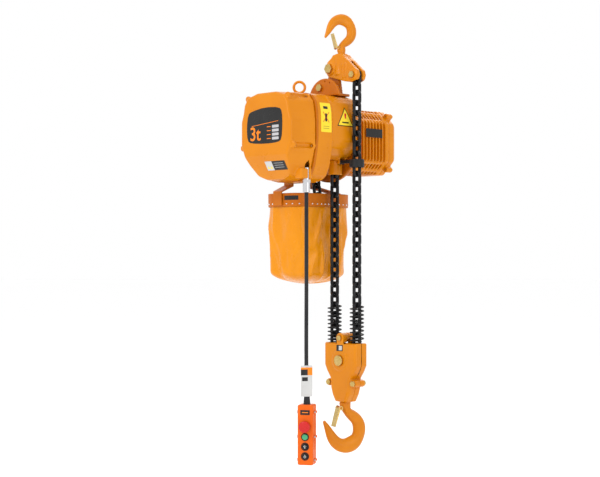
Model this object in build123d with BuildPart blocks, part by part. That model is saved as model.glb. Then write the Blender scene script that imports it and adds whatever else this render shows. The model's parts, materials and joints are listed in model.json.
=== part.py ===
"""Electric chain hoist: two falls of load chain, hung from its top hook, with a pendant control.

Frame: origin at the saddle of the top hook, +Z up, +X along the motor shaft from the control cover
to the motor. The load chain runs in the plane X = 0, with its dead fall on the -Y side. Millimetres.
"""

import math
import os

from build123d import *

os.makedirs("parts", exist_ok=True)

# ---------------------------------------------------------------- driving dimensions
WIRE = 10.0                 # load chain wire
PITCH = 30.0                # load chain pitch
LINK_GAP = 0.1              # slack at each end of a link
LINK_IN_W = 13.6            # inside width of a link
LINK_R = LINK_IN_W / 2 + WIRE          # half the outside width of a link
LINKS_PER_TURN = 10         # a sheave has half as many pockets
STEP = 360 / LINKS_PER_TURN
FALL_R = PITCH / 2 / math.tan(math.radians(STEP / 2))

BLOCK_Y = -17.5             # load line, midway between the falls
LIVE_Y = BLOCK_Y + FALL_R
DEAD_Y = BLOCK_Y - FALL_R
AXIS_Y = LIVE_Y + FALL_R    # motor and load sheave shaft
ANCHOR_LINK_Z = -163.0      # centre of the link that the anchor pin holds
DEAD_LINKS = 28             # pitches from the anchor link down to the block axle
LIVE_LINKS = 22             # pitches from the block axle up to the load sheave
RIDING = 12                 # links of each fall that ride up with the block
SLACK_LINKS = 9
SLACK_TILT = 9.0
BLOCK_Z = ANCHOR_LINK_Z - DEAD_LINKS * PITCH
AXIS_Z = BLOCK_Z + LIVE_LINKS * PITCH
ANCHOR_R = 6.6
ANCHOR_Z = ANCHOR_LINK_Z + PITCH / 2 + LINK_GAP - LINK_IN_W / 2

FIT = 0.05                  # radial running clearance
CLEAR = 0.4                 # gap between pieces that don't touch
SKIN = 6.0                  # casting wall
RIM = 1.5                   # the gear case's joint rim stands this far out

CASE_Y = 72.0               # middle of the housings
COVER_X0, COVER_X1 = -245.0, -150.0
PLATE_X1 = -143.0           # gear cover plate ends here
GEAR_X1 = -96.0             # inner face of the gear case's bearing wall
CASE_X1 = -84.0
MID_X1 = 22.0               # end of the sheave case
FLANGE_X1 = 34.0
MOTOR_X1 = 185.0

MODULE = 1.75               # gear train: three equal stages
PINION_TEETH, GEAR_TEETH = 13, 52
PRESSURE = math.radians(25)
TOOTH_THIN = 0.1
CENTRES = MODULE * (PINION_TEETH + GEAR_TEETH) / 2
SHAFT_R = 7.0
HOLLOW_R, HOLLOW_BORE = 17.0, 10.0
COUNTER_R = 8.0

OPEN_TURN = math.radians(71)           # both hooks open 71 degrees round from +Y towards -X
TOP_SCALE = 0.75
TOP_BOWL_Z = -25 * TOP_SCALE
LOAD_BOWL_Z = -1211.0
PENDANT_X, PENDANT_Y = -163.0, -18.5
PENDANT_TOP, PENDANT_LOW = -1123.0, -1298.0
PENDANT_W, PENDANT_D = 46.0, 45.0
CABLE_R = 5.75
CABLE_TOP = -496.0
GLAND_X = -165.0
GLAND_Z0, GLAND_Z1 = -507.0, -467.0
GLAND_HOLE = 8.0

LATCH_PIN = (21.5, 66)                 # out and up from the bowl's centre
LATCH_PIN_R = 3.2
LATCH_W = 27.0

LUG_Y, LUG_Z = LIVE_Y, -130.0          # suspension pin
LUG_HALF = 6.0
EYE = (-112, 66, -190)                 # centre of the eye bolt's ring

CASE_TOP, CASE_LOW = -214.0, -404.0    # flat top of the housings, flat underside of the sheave case
COVER_WALL = 4.0
GROOVE = 80.0                          # length of the grooves that the cover's screws sit in
GROOVE_R, GROOVE_RIB_R = 8.0, 9.5
# each cover screw's distance from the middle, its height, and its groove's shift outwards and up
COVER_SCREWS = [(-85, -228, -2.8, 2.8), (85, -228, 2.8, 2.8), (-107, -372, -4, 0), (107, -372, 4, 0)]
INLET = (-176, -320)                   # supply cable's inlet
INLET_R = 10.25
INLET_Y0, INLET_LENGTH = 174.0, 12.0
BEARING_X0, BEARING_T = -42.0, 12.0    # wall that carries the load sheave
GUIDE_BORE = 18.2
LEVER_Y, LEVER_Z = 0.0, -411.0         # the limit lever's pivot
LEVER_R = 22.0

# the two countershafts hang below the main shaft, at the corners of an even triangle
COUNTER_1 = (AXIS_Y - CENTRES / 2, AXIS_Z - CENTRES * math.sqrt(3) / 2)
COUNTER_2 = (AXIS_Y + CENTRES / 2, AXIS_Z - CENTRES * math.sqrt(3) / 2)
GEAR_AXES = [(AXIS_Y, AXIS_Z, SHAFT_R), (*COUNTER_1, COUNTER_R), (*COUNTER_2, COUNTER_R)]
STAGES = [(-141, -130), (-127, -114), (-111.5, -98)]

MOTOR_HALF = 99.0
FACET = 57.0
MOTOR_OUTLINE = [
    (FACET - 2, MOTOR_HALF), (MOTOR_HALF, FACET), (MOTOR_HALF, -FACET), (FACET - 2, -MOTOR_HALF),
]
FINS, FIN_STEP, FIN_T = 9, 14.0, 5.0
FIN_BANDS = [(s * a, t * b) for a, b in ((62, 84), (84, 62)) for s in (-1, 1) for t in (-1, 1)]
STATOR_R, ROTOR_R = 78.0, 44.0
# the end cap's dome: from and to, and half width at each
CAP_STEPS = [(22, 34, 98, 90), (34, 44, 90, 74), (44, 52, 74, 46)]
CAP_LUGS = [(s * 82, t * 82) for s in (-1, 1) for t in (-1, 1)]
CAP_ROOM_R = 66.0                      # hollow that the brake turns in

BAG_Y = 142.0
BAG_HALF_X, BAG_HALF_Y = 120.0, 85.0
BAG_TOP, RIM_LOW, BAG_LOW = -503.0, -544.0, -778.0
BAG_TAPER_Z = -735.0                   # the bag draws in below this
BAG_WALL, BAG_CORNER = 3.0, 52.0
STRAP_Y, STRAP_HALF = 146.0, 18.0

BLOCK_HALF_X = 26.0
SPRING_PITCH, SPRING_R, SPRING_WIRE = 11.7, 19.6, 2.0
SPRING_TOP, SPRING_LOW = -839.0, -947.0
BLOCK_BOLTS = [(-50, -1070), (50, -1070), (0, -936)]

FRONT = (-0.848, -0.53, 0.0)           # the way the pendant's buttons face
PRESS = 3.0                            # travel of a button
# name, height, radius, how far it stands out, length of stem inside
BUTTONS = [
    ("estop_button", -1186, 16.5, 11, 8),
    ("start_button", -1216, 10, 5, 7),
    ("up_button", -1244, 10.5, 4, 7),
    ("down_button", -1272, 10.5, 4, 7),
]


def save(part, name):
    """Labels a finished piece and writes it as its own STEP file."""
    part.label = name
    export_step(part, f"parts/{name}.step")


def save_group(solids, name):
    """Writes identical pieces, or a run of chain, as separate solids of one node."""
    save(Compound(children=list(solids)), name)


def disc(y, z, r, x0, x1, mode=Mode.ADD):
    """A cylinder along X between x0 and x1."""
    with BuildSketch(Plane.YZ.offset(x0)) as end:
        with Locations((y, z)):
            Circle(r)
    extrude(end.sketch, amount=x1 - x0, mode=mode)


def block(x0, x1, y0, y1, z0, z1, mode=Mode.ADD):
    """A box between two corners."""
    with Locations(((x0 + x1) / 2, (y0 + y1) / 2, (z0 + z1) / 2)):
        Box(x1 - x0, y1 - y0, z1 - z0, mode=mode)


def outline(half, centre_y, corner):
    """A closed face in the sketch, mirrored about centre_y, with rounded corners."""
    points = [(centre_y + dy, z) for dy, z in half]
    points += [(centre_y - dy, z) for dy, z in reversed(half)]
    with BuildLine() as edge:
        Polyline(*points, close=True)
    face = make_face(edge.edges())
    if corner:
        fillet(face.vertices(), corner)


def bolt_x(y, z, r, x0, x1, head_r, head_t, nut=False):
    """A hexagon bolt along X, with its head at the low end and a nut at the high end."""
    with BuildPart() as bolt:
        disc(y, z, r, x0, x1)
        with BuildSketch(Plane.YZ.offset(x0)):
            with Locations((y, z)):
                RegularPolygon(head_r, 6)
        extrude(amount=-head_t)
        if nut:
            with BuildSketch(Plane.YZ.offset(x1)):
                with Locations((y, z)):
                    RegularPolygon(head_r, 6)
            extrude(amount=head_t)
        chamfer(bolt.faces().sort_by(Axis.X)[0].edges(), head_t * 0.15)
    return bolt.part


# ---------------------------------------------------------------- load chain
def make_link():
    """One link, lying in the YZ plane with its long axis along Z."""
    r = LINK_IN_W / 2 + WIRE / 2
    half = PITCH / 2 + LINK_GAP - LINK_IN_W / 2
    with BuildPart() as link:
        with BuildLine(Plane.YZ) as path:
            Line((r, -half), (r, half))
            RadiusArc((r, half), (-r, half), -r)
            Line((-r, half), (-r, -half))
            RadiusArc((-r, -half), (r, -half), -r)
        with BuildSketch(Plane(origin=(0, r, -half), z_dir=(0, 0, 1))):
            Circle(WIRE / 2)
        sweep(path=path.wires()[0])
    return link.part


LINK = make_link()


def place_link(y, z, tilt, flat):
    """A link centred at y, z, turned by tilt about X. A flat link lies across the chain's plane."""
    return LINK.moved(Location((0, y, z), (tilt, 0, 0)) * Location((0, 0, 0), (0, 0, 90 if flat else 0)))


def fall(y, first, last, flat_first):
    """Links first to last of a fall, counted up from the block axle."""
    return [place_link(y, BLOCK_Z + PITCH * k, 0, (k + flat_first) % 2 == 1) for k in range(first, last)]


def wrapped(y, z, angle, flat):
    """The link that lies on a sheave at angle, measured from +Y towards +Z."""
    turn = math.radians(angle)
    return place_link(y + FALL_R * math.cos(turn), z + FALL_R * math.sin(turn), angle, flat)


def make_chain():
    riding = fall(DEAD_Y, 0, RIDING + 1, 0) + fall(LIVE_Y, 0, RIDING + 1, 1)
    riding += [wrapped(BLOCK_Y, BLOCK_Z, 180 + STEP * n, n % 2 == 1) for n in range(1, 5)]
    still = fall(DEAD_Y, RIDING + 1, DEAD_LINKS + 1, 0) + fall(LIVE_Y, RIDING + 1, LIVE_LINKS + 1, 1)
    still += [wrapped(AXIS_Y, AXIS_Z, 180 - STEP * n, n % 2 == 0) for n in range(1, 6)]
    lean = math.radians(SLACK_TILT)
    still.append(place_link(AXIS_Y + FALL_R, AXIS_Z - PITCH, 0, True))
    for n in range(2, SLACK_LINKS + 1):
        run = PITCH * (n - 1.5)
        y = AXIS_Y + FALL_R - run * math.sin(lean)
        still.append(place_link(y, AXIS_Z - 1.5 * PITCH - run * math.cos(lean), -SLACK_TILT, n % 2 == 1))
    save_group(riding, "load_chain_block_part")
    save_group(still, "load_chain_hoist_part")


def make_sheave(y, z, first_tooth, bore):
    """A pocketed sheave: a groove for the upright links, and teeth between the flat ones."""
    groove = WIRE / 2 + 0.6
    side = LINK_R + 0.4
    with BuildPart() as sheave:
        disc(y, z, FALL_R - WIRE / 2 - 0.4, -side, side)
        for n in range(LINKS_PER_TURN // 2):
            turn = first_tooth + 2 * STEP * n
            along = (0, math.cos(math.radians(turn)), math.sin(math.radians(turn)))
            with BuildSketch(Plane(origin=(0, y, z), x_dir=(1, 0, 0), z_dir=along).offset(FALL_R - 12)):
                Rectangle(2 * side, 6)
            extrude(amount=15)
        with BuildSketch(Plane.YZ.offset(-groove)):
            with Locations((y, z)):
                Circle(FALL_R + 10)
                Circle(FALL_R - LINK_R - 0.5, mode=Mode.SUBTRACT)
        extrude(amount=2 * groove, mode=Mode.SUBTRACT)
        for x0 in (-side - 3.6, side):
            disc(y, z, FALL_R + 2, x0, x0 + 3.6)
        disc(y, z, bore, -side - 10, side + 10, mode=Mode.SUBTRACT)
    return sheave.part


# ---------------------------------------------------------------- hooks
# Sections from shank to tip, about the bowl's centre: out, up, heading, depth, width.
HOOK_SECTIONS = [
    (0, 84, -90, 30, 30),
    (0, 64, -92, 30, 30),
    (-18, 44, -140, 32, 30),
    (-38, 25, -118, 37, 31),
    (-45, 0, -90, 40, 32),
    (-33, -33, -45, 43, 32),
    (0, -47.5, 0, 45, 31),
    (33, -36, 42, 37, 27),
    (51, -12, 60, 29, 22),
    (64, 13, 60, 17, 15),
    (73, 29, 60, 8, 8),
]
OUT = (-math.sin(OPEN_TURN), math.cos(OPEN_TURN))
SIDE_DIR = (math.cos(OPEN_TURN), math.sin(OPEN_TURN), 0)


def hook_point(y0, z0, scale, up, out, rise, side=0.0):
    """A point of a hook, whose bowl is centred at y0, z0."""
    x = (OUT[0] * out + SIDE_DIR[0] * side) * scale
    y = y0 + (OUT[1] * out + SIDE_DIR[1] * side) * scale
    return (x, y, z0 + rise * scale * up)


def make_hook(scale, y0, z0, up, shank_end):
    """A forged hook with its shank, and the lug and pin that carry its latch."""
    with BuildPart() as hook:
        for out, rise, way, depth, width in HOOK_SECTIONS:
            angle = math.radians(way)
            along = (OUT[0] * math.cos(angle), OUT[1] * math.cos(angle), math.sin(angle) * up)
            centre = hook_point(y0, z0, scale, up, out, rise)
            with BuildSketch(Plane(origin=centre, x_dir=SIDE_DIR, z_dir=along)):
                Ellipse(width * scale / 2, depth * scale / 2)
        loft()
        top_z = z0 + HOOK_SECTIONS[0][1] * scale * up
        with BuildSketch(Plane.XY.offset(top_z - up)):
            with Locations((0, y0)):
                Circle(HOOK_SECTIONS[0][3] * scale / 2)
        extrude(amount=shank_end - top_z + up)
        # latch lug and pin
        pin = hook_point(y0, z0, scale, up, *LATCH_PIN)
        with BuildSketch(Plane(origin=pin, x_dir=(0, 0, 1), z_dir=SIDE_DIR)):
            Circle(LATCH_PIN_R * scale)
        extrude(amount=LATCH_W / 2 * scale, both=True)
        root = hook_point(y0, z0, scale, up, LATCH_PIN[0] - 12, LATCH_PIN[1])
        with BuildSketch(Plane(origin=root, x_dir=SIDE_DIR, z_dir=(*OUT, 0))):
            Rectangle(12 * scale, 6 * scale)
        extrude(amount=12 * scale)
    return hook.part


def make_latch(scale, y0, z0, up):
    """A pressed latch: two ears on the pin, and a tongue that reaches the inside of the tip."""
    sheet = 2.6
    plane = Plane(origin=(0, y0, z0), x_dir=(*OUT, 0), z_dir=tuple(up * v for v in SIDE_DIR))
    pin_out, pin_rise = LATCH_PIN
    with BuildPart() as latch:
        with BuildSketch(plane):
            with BuildLine():
                Polyline(
                    (scale * (pin_out + 6), scale * (pin_rise + 1)),
                    (scale * (pin_out + 21), scale * 11),
                    (scale * (pin_out + 21 - sheet), scale * 11),
                    (scale * (pin_out + 6 - sheet), scale * (pin_rise - 9)),
                    (scale * (pin_out + 6 - sheet), scale * (pin_rise + 1)),
                    close=True,
                )
            make_face()
        extrude(amount=LATCH_W / 2 * scale, both=True)
        for start in (LATCH_W / 2 - sheet, -LATCH_W / 2):
            with BuildSketch(plane.offset(start * scale)):
                with Locations((scale * pin_out, scale * pin_rise)):
                    Circle(6.6 * scale)
            extrude(amount=sheet * scale)
        with BuildSketch(plane):
            with Locations((scale * pin_out, scale * pin_rise)):
                Circle(LATCH_PIN_R * scale + FIT)
        extrude(amount=LATCH_W * scale, both=True, mode=Mode.SUBTRACT)
    return latch.part


def make_hooks():
    save(make_hook(TOP_SCALE, 0, TOP_BOWL_Z, -1, -112), "top_hook")
    save(make_latch(TOP_SCALE, 0, TOP_BOWL_Z, -1), "top_latch")
    save(make_hook(1.0, BLOCK_Y, LOAD_BOWL_Z, 1, -1074), "bottom_hook")
    save(make_latch(1.0, BLOCK_Y, LOAD_BOWL_Z, 1), "bottom_latch")
    for name, y, z0, z1, r, bore in (
        ("top_hook_nut", 0, -111.5, -97.5, 17, 15 * TOP_SCALE),
        ("bottom_hook_nut", BLOCK_Y, -1097.5, -1076, 21, 15),
    ):
        with BuildPart() as nut:
            with BuildSketch(Plane.XY.offset(z0)):
                with Locations((0, y)):
                    Circle(r)
                    Circle(bore, mode=Mode.SUBTRACT)
            extrude(amount=z1 - z0)
        save(nut.part, name)


# ---------------------------------------------------------------- upper block and suspension
UPPER_OUTLINE = [
    (-18, -89), (18, -89), (27, -99), (41, -108), (49, -122), (48, -140), (38, -153), (14, -160),
    (-30, -172), (-62, -177), (-79, -170), (-84, -156), (-80, -142), (-66, -131), (-42, -110), (-26, -98),
]


def make_upper_half(side):
    """One half of the upper block. side is -1 in front and +1 behind."""
    low, high = sorted((side * 0.1, side * 19.0))
    with BuildPart() as half:
        with BuildSketch(Plane.YZ.offset(low)):
            with BuildLine():
                Polyline(*UPPER_OUTLINE, close=True)
            face = make_face()
            fillet(face.vertices(), 4)
        extrude(amount=high - low)
        with BuildSketch(Plane.XY.offset(-150)):
            Circle(22)
        with BuildSketch(Plane.XY.offset(-87)):
            Circle(19)
        loft()
        for y, z, r, reach in ((LUG_Y, LUG_Z, 19, 23), (DEAD_Y, ANCHOR_Z, 15, 21)):
            b0, b1 = sorted((side * 6.5, side * reach))
            disc(y, z, r, b0, b1)
        # ribs between the bosses
        for y in (-36, -24):
            r0, r1 = sorted((side * 8, side * 21.5))
            block(r0, r1, y - 2.5, y + 2.5, -160, -118)
        fillet(half.edges().filter_by(GeomType.CIRCLE).group_by(Axis.X)[0 if side < 0 else -1], 2)
        # joint face, nut pocket, shank hole, slot for the lug and the chain, pin holes
        block(*sorted((-side * 40, side * 0.1)), -120, 90, -200, -60, mode=Mode.SUBTRACT)
        with BuildSketch(Plane.XY.offset(-113)):
            Circle(17.5)
        extrude(amount=16, mode=Mode.SUBTRACT)
        with BuildSketch(Plane.XY.offset(-120)):
            Circle(15 * TOP_SCALE + FIT)
        extrude(amount=40, mode=Mode.SUBTRACT)
        block(-6.4, 6.4, -100, 80, -200, -112.5, mode=Mode.SUBTRACT)
        with BuildSketch(Plane.XY.offset(-200)):
            with Locations((0, DEAD_Y)):
                Circle(LINK_R + 0.6)
        extrude(amount=33, mode=Mode.SUBTRACT)
        disc(LUG_Y, LUG_Z, 8, -40, 40, mode=Mode.SUBTRACT)
        disc(DEAD_Y, ANCHOR_Z, ANCHOR_R, -40, 40, mode=Mode.SUBTRACT)
    return half.part


def make_suspension():
    save(make_upper_half(-1), "upper_block_front")
    save(make_upper_half(1), "upper_block_rear")
    save(bolt_x(LUG_Y, LUG_Z, 8, -23, 23, 15, 9, True), "suspension_pin")
    save(bolt_x(DEAD_Y, ANCHOR_Z, ANCHOR_R, -21, 21, 10.5, 6, True), "anchor_pin")
    with BuildPart() as bracket:
        with BuildSketch(Plane.YZ.offset(-LUG_HALF)):
            with Locations((LUG_Y, LUG_Z)):
                Circle(16.5)
            with BuildLine():
                Polyline(
                    (LUG_Y - 16.5, LUG_Z),
                    (LUG_Y - 30, CASE_TOP + 5),
                    (LUG_Y + 36, CASE_TOP + 5),
                    (LUG_Y + 16.5, LUG_Z),
                    close=True,
                )
            make_face()
        extrude(amount=2 * LUG_HALF)
        block(-46, 20, -15, 76, CASE_TOP, CASE_TOP + 8)
        with BuildSketch(Plane.YZ.offset(-46)):
            with Locations((LUG_Y, -226)):
                Circle(65)
            with Locations((LUG_Y, CASE_TOP - 50)):
                Rectangle(160, 100, mode=Mode.SUBTRACT)
        extrude(amount=8)
        for y, z in ((6, -176), (26, -170)):
            disc(y, z, 2.4, -50, -30, mode=Mode.SUBTRACT)
        disc(LUG_Y, LUG_Z, 8, -20, 20, mode=Mode.SUBTRACT)
        disc(46, -188, 6, -50, -30, mode=Mode.SUBTRACT)
        fillet(bracket.edges().filter_by(Axis.Y).group_by(Axis.Z)[-1], 1.5)
    save(bracket.part, "suspension_bracket")
    save_group([bolt_x(46, -188, 6, -46, -34, 12, 7)], "bracket_bolts")
    with BuildPart() as eye:
        with Locations(Plane(origin=EYE, z_dir=(0.695, 0.719, 0)).location):
            Torus(16.5, 4)
        for r, z, tall in ((10, CASE_TOP, 4), (5, CASE_TOP + 4, 5)):
            with BuildSketch(Plane.XY.offset(z)):
                with Locations((EYE[0], EYE[1])):
                    Circle(r)
            extrude(amount=tall)
    save(eye.part, "eye_bolt")


# ---------------------------------------------------------------- housings
# Half outlines, as distance from the middle and height.
DEEP = [
    (72, CASE_TOP), (96, -222), (109, -240), (116, -268), (117.5, -300), (117.5, -350), (113, -390),
    (104, -428), (91, -455), (74, -467), (44, -473),
]
SHALLOW = [
    (72, CASE_TOP), (96, -222), (109, -240), (116, -268), (117.5, -300), (117.5, -350), (109, -372),
    (90, -392), (66, CASE_LOW),
]
COVER_BACK = [
    (44, -211), (88, -219), (106, -240), (112, -270), (115, -300), (115, -368), (107, -400), (96, -440),
    (76, -463), (40, -471),
]
COVER_FRONT = [
    (38, -215), (78, -226), (92, -246), (97, -272), (106, -296), (106, -366), (96, -390), (82, -420),
    (60, -452), (32, -466),
]


def shrunk(half, by):
    """A half outline of the housings, drawn in on every side."""
    return [(dy - by, z + by if z < AXIS_Z else z - by) for dy, z in half]


def shell_x(x0, x1, half, skin, closed_low, closed_high, corner=14):
    """A hollow length of housing along X. closed_low and closed_high are its end walls' thicknesses."""
    with BuildPart() as shell:
        with BuildSketch(Plane.YZ.offset(x0)):
            outline(half, CASE_Y, corner)
        extrude(amount=x1 - x0)
        with BuildSketch(Plane.YZ.offset(x0 + closed_low)):
            outline(half, CASE_Y, corner)
            offset(amount=-skin, mode=Mode.REPLACE)
        extrude(amount=x1 - x0 - closed_low - closed_high, mode=Mode.SUBTRACT)
    return shell.part


def make_control_cover():
    """The deep cover over the controls: it narrows to its face, and its chin slopes back."""
    chin = Plane(origin=(COVER_X0, CASE_Y, -398), x_dir=(0, 1, 0), z_dir=(-0.86, 0, -0.51))
    solids = []
    for inset in (0, COVER_WALL):
        with BuildPart() as body:
            with BuildSketch(Plane.YZ.offset(COVER_X1)):
                outline(shrunk(COVER_BACK, inset), CASE_Y, 12)
            with BuildSketch(Plane.YZ.offset(COVER_X0 + inset)):
                outline(shrunk(COVER_FRONT, inset), CASE_Y, 12)
            loft(ruled=True)
            split(bisect_by=chin.offset(-inset), keep=Keep.BOTTOM)
            if not inset:
                fillet(body.faces().sort_by(Axis.X)[0].edges(), 7)
        solids.append(body.part)
    with BuildPart() as cover:
        add(solids[0])
        add(solids[1], mode=Mode.SUBTRACT)
        # each screw sits at the end of a groove that runs forward in a rib
        for dy, z, _, _ in COVER_SCREWS:
            disc(CASE_Y + dy, z, GROOVE_RIB_R, COVER_X1 - GROOVE - 8, COVER_X1)
        for dy, z, out, up in COVER_SCREWS:
            y = CASE_Y + dy
            disc(y + out, z + up, GROOVE_R, COVER_X1 - GROOVE, COVER_X1 - 10, mode=Mode.SUBTRACT)
            disc(y, z, 3, COVER_X1 - 12, COVER_X1 + 1, mode=Mode.SUBTRACT)
        # boss that the pendant cable's gland screws into
        with BuildSketch(Plane.XY.offset(GLAND_Z1)):
            with Locations((COVER_X1 - 22.5, PENDANT_Y + 5)):
                RectangleRounded(45, 30, 6)
        extrude(amount=30)
        with BuildSketch(Plane.XY.offset(GLAND_Z1 - 1)):
            with Locations((GLAND_X, PENDANT_Y)):
                Circle(GLAND_HOLE)
        extrude(amount=90, mode=Mode.SUBTRACT)
        # inlet for the supply cable, through a boss in the far wall
        with BuildSketch(Plane.XZ.offset(-INLET_Y0)):
            with Locations(INLET):
                Circle(INLET_R + 5)
        extrude(amount=-INLET_LENGTH)
        with BuildSketch(Plane.XZ.offset(-INLET_Y0 + 5)):
            with Locations(INLET):
                Circle(INLET_R)
        extrude(amount=-INLET_LENGTH - 10, mode=Mode.SUBTRACT)
    return cover.part


def make_housings():
    save(make_control_cover(), "control_cover")
    screws = [bolt_x(CASE_Y + dy, z, 3, COVER_X1 - 10, COVER_X1 + 6, 3.6, 4) for dy, z, _, _ in COVER_SCREWS]
    save_group(screws, "cover_screws")

    with BuildPart() as plate:
        with BuildSketch(Plane.YZ.offset(COVER_X1)):
            outline(DEEP, CASE_Y, 14)
        extrude(amount=PLATE_X1 - COVER_X1)
        for dy, z, _, _ in COVER_SCREWS:
            disc(CASE_Y + dy, z, 3, COVER_X1 - 1, PLATE_X1 + 1, mode=Mode.SUBTRACT)
        for y, z, r in GEAR_AXES:
            disc(y, z, r + FIT, COVER_X1 - 1, PLATE_X1 + 1, mode=Mode.SUBTRACT)
    save(plate.part, "gear_cover_plate")

    with BuildPart() as case:
        add(shell_x(PLATE_X1, CASE_X1, DEEP, SKIN, 0, CASE_X1 - GEAR_X1))
        with BuildSketch(Plane.YZ.offset(CASE_X1 - 5)):
            outline(DEEP, CASE_Y, 14)
            offset(amount=RIM, mode=Mode.REPLACE)
            offset(amount=-SKIN, mode=Mode.SUBTRACT)
        extrude(amount=5)
        disc(AXIS_Y, AXIS_Z, HOLLOW_R + FIT, GEAR_X1 - 1, CASE_X1 + 1, mode=Mode.SUBTRACT)
        for y, z, r in GEAR_AXES[1:]:
            disc(y, z, r + FIT, GEAR_X1 - 1, CASE_X1 + 1, mode=Mode.SUBTRACT)
    save(case.part, "gear_case")

    with BuildPart() as middle:
        add(shell_x(CASE_X1, MID_X1, SHALLOW, SKIN, 0, 0))
        with BuildSketch(Plane.YZ.offset(BEARING_X0)):
            outline(SHALLOW, CASE_Y, 14)
            offset(amount=-SKIN + 1, mode=Mode.REPLACE)
        extrude(amount=BEARING_T)
        disc(AXIS_Y, AXIS_Z, HOLLOW_R + FIT, BEARING_X0 - 1, BEARING_X0 + BEARING_T + 1, mode=Mode.SUBTRACT)
        # lever ears under the case
        for x0 in (-15, 11.5):
            block(x0, x0 + 3.5, LEVER_Y - 7, LEVER_Y + 7, LEVER_Z - 6, -399)
        disc(LEVER_Y, LEVER_Z, 3, -16, 16)
        # ways out for the load fall and the slack fall
        with BuildSketch(Plane.XY.offset(-430)):
            with Locations((0, LIVE_Y)):
                Circle(GUIDE_BORE)
            with Locations((0, AXIS_Y + FALL_R - 12)):
                SlotOverall(2 * GUIDE_BORE + 22, 2 * GUIDE_BORE, rotation=90)
        extrude(amount=50, mode=Mode.SUBTRACT)
    save(middle.part, "sheave_case")

    with BuildPart() as guide:
        with BuildSketch(Plane.XY.offset(CASE_LOW - CLEAR)):
            with Locations((0, LIVE_Y)):
                Circle(24)
        extrude(amount=-8)
        with BuildSketch(Plane.XY.offset(-410)):
            with Locations((0, LIVE_Y)):
                Circle(23)
        extrude(amount=-38)
        with BuildSketch(Plane.XY.offset(-400)):
            with Locations((0, LIVE_Y)):
                Circle(GUIDE_BORE)
        extrude(amount=-60, mode=Mode.SUBTRACT)
        block(-30, 30, LEVER_Y - 20, LEVER_Y + 7.5, -420, -400, mode=Mode.SUBTRACT)
        block(MID_X1 - CLEAR, 40, -20, 80, -460, -400, mode=Mode.SUBTRACT)
    save(guide.part, "chain_guide")

    with BuildPart() as lever:
        with BuildSketch(Plane.XY.offset(-429)):
            with Locations((0, DEAD_Y)):
                Circle(LEVER_R)
        extrude(amount=24)
        block(-8, 8, DEAD_Y, LEVER_Y, -415, -405)
        disc(LEVER_Y, LEVER_Z, 6, -10, 10)
        with BuildSketch(Plane.XY.offset(-440)):
            with Locations((0, DEAD_Y)):
                Circle(GUIDE_BORE)
        extrude(amount=50, mode=Mode.SUBTRACT)
        disc(LEVER_Y, LEVER_Z, 3 + FIT, -20, 20, mode=Mode.SUBTRACT)
    save(lever.part, "limit_lever")

    # what the control cover holds
    with BuildPart() as contactor:
        block(-214, -160, 30, 64, -350, -260)
        block(-206, -160, 40, 54, -356, -254)
        block(-160, -150 - CLEAR, 34, 60, -340, -270)
        fillet(contactor.edges().filter_by(Axis.X), 1)
    save(contactor.part, "contactor")
    with BuildPart() as transformer:
        block(-204, -150 - CLEAR, 84, 134, -340, -280)
        block(-218, -203, 94, 124, -330, -290)
    save(transformer.part, "transformer")


# ---------------------------------------------------------------- gear train
def gear_points(teeth, phase):
    """The outline of a spur gear with a tooth centred at phase, in degrees from +Y towards +Z."""
    pitch_r = MODULE * teeth / 2
    base_r = pitch_r * math.cos(PRESSURE)
    tip_r = pitch_r + 0.8 * MODULE
    root_r = pitch_r - 1.05 * MODULE
    flank = []
    for part_way in range(5):
        start_r = max(base_r, root_r)
        r = start_r + (tip_r - start_r) * part_way / 4
        at = math.acos(min(1.0, base_r / r))
        half = math.pi / 2 / teeth - TOOTH_THIN / pitch_r
        half += (math.tan(PRESSURE) - PRESSURE) - (math.tan(at) - at)
        flank.append((half, r))
    if base_r > root_r:
        flank.insert(0, (flank[0][0], root_r))
    points = []
    for n in range(teeth):
        middle = math.radians(phase) + 2 * math.pi * n / teeth
        sides = [(middle - half, r) for half, r in flank]
        sides += [(middle + half, r) for half, r in reversed(flank)]
        points += [(r * math.cos(a), r * math.sin(a)) for a, r in sides]
    return points


def gear_face(y, z, teeth, phase):
    """The gear's face, in a sketch on a plane across X."""
    with BuildLine() as edge:
        Polyline(*[(y + py, z + pz) for py, pz in gear_points(teeth, phase)], close=True)
    make_face(edge.edges())


def make_gear(name, y, z, teeth, phase, x0, x1, bore):
    with BuildPart() as gear:
        with BuildSketch(Plane.YZ.offset(x0)):
            gear_face(y, z, teeth, phase)
            if bore:
                with Locations((y, z)):
                    Circle(bore, mode=Mode.SUBTRACT)
        extrude(amount=x1 - x0)
    save(gear.part, name)


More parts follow.
